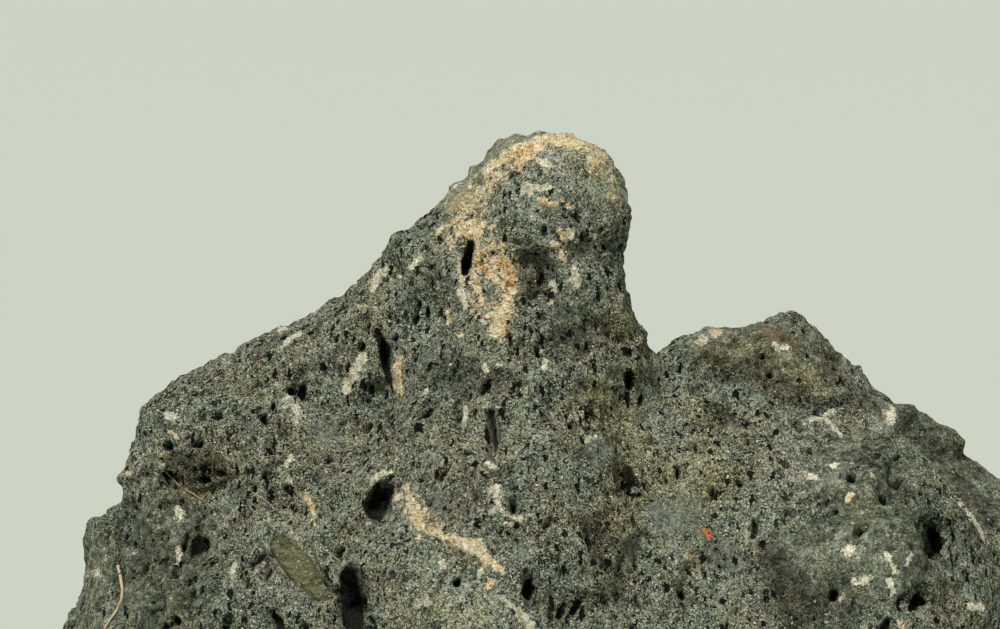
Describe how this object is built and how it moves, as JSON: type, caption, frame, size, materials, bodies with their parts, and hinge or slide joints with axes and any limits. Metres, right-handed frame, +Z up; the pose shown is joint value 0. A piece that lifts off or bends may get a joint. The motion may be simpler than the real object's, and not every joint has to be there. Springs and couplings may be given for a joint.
{
  "type": "suiseki stone",
  "caption": "Mountain-shaped viewing stone of dark vesicular basalt, with a knobbed summit and a flat underside to rest on.",
  "frame": {"origin": "centre of the bounding box in plan, on the flat underside", "axes": "+Z up, out of the summit; +X along the stone's length, to the right as seen from its front; -Y towards the viewer of its front"},
  "size_m": [0.188, 0.1186, 0.12],
  "materials": {
    "basalt": "rough, vesicular, with tan and white mineral crusts"
  },
  "bodies": {
    "root": {"stone": "basalt"}
  },
  "joints": []
}
